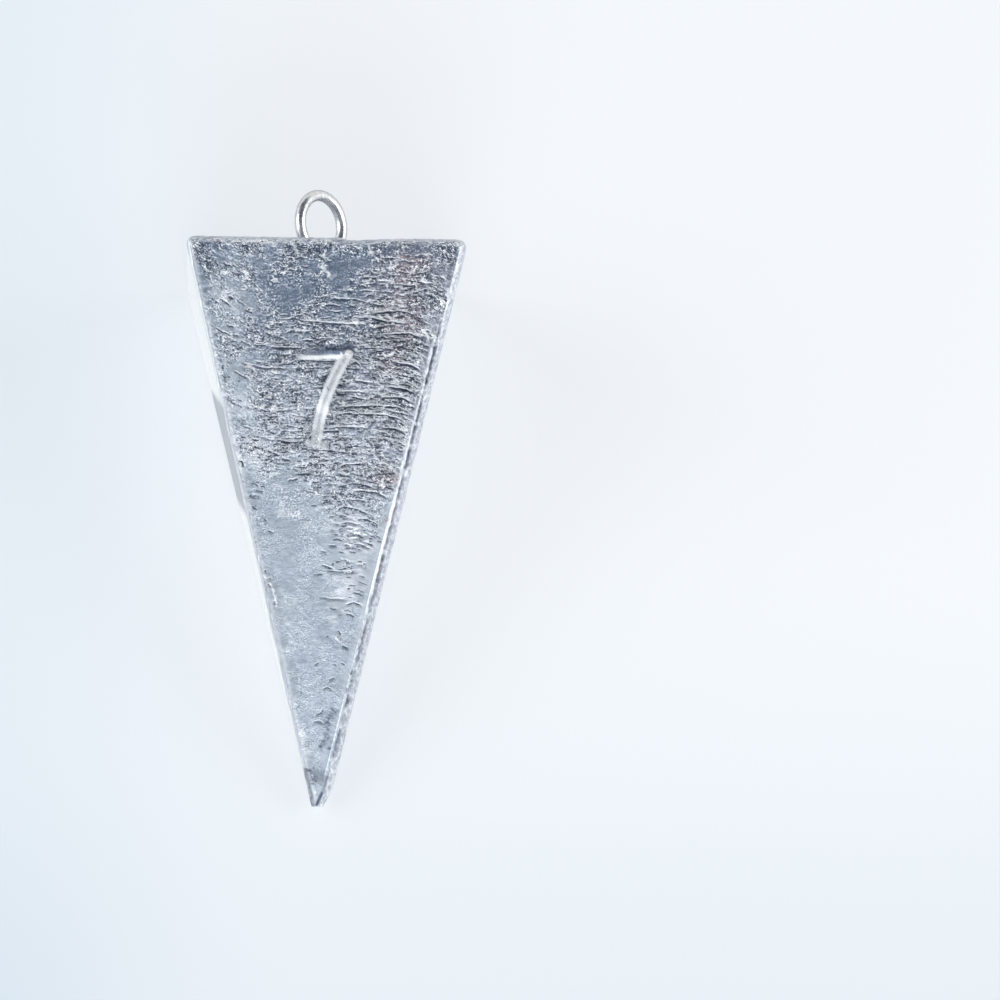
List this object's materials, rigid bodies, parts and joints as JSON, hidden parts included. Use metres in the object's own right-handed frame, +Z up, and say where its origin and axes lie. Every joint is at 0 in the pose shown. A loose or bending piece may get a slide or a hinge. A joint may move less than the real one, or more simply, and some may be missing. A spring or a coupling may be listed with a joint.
{
  "type": "pyramid fishing sinker",
  "caption": "Long four-sided pyramid of cast lead, with a raised weight numeral on one side and a wire eye in its base that ties to a fishing line.",
  "frame": {"origin": "middle of the bounding box's footprint, on the surface that the sinker lies on", "axes": "+Z up from the side face it lies on, +Y towards the base and the eye, +X to the right of the numbered face"},
  "size_m": [0.029, 0.0644, 0.0283],
  "materials": {
    "cast_lead": "bare cast lead, dull blue-grey with bright flecks",
    "bright_wire": "smooth drawn wire"
  },
  "bodies": {
    "root": {"lead_body": "cast_lead", "wire_eye": "bright_wire"}
  },
  "joints": []
}
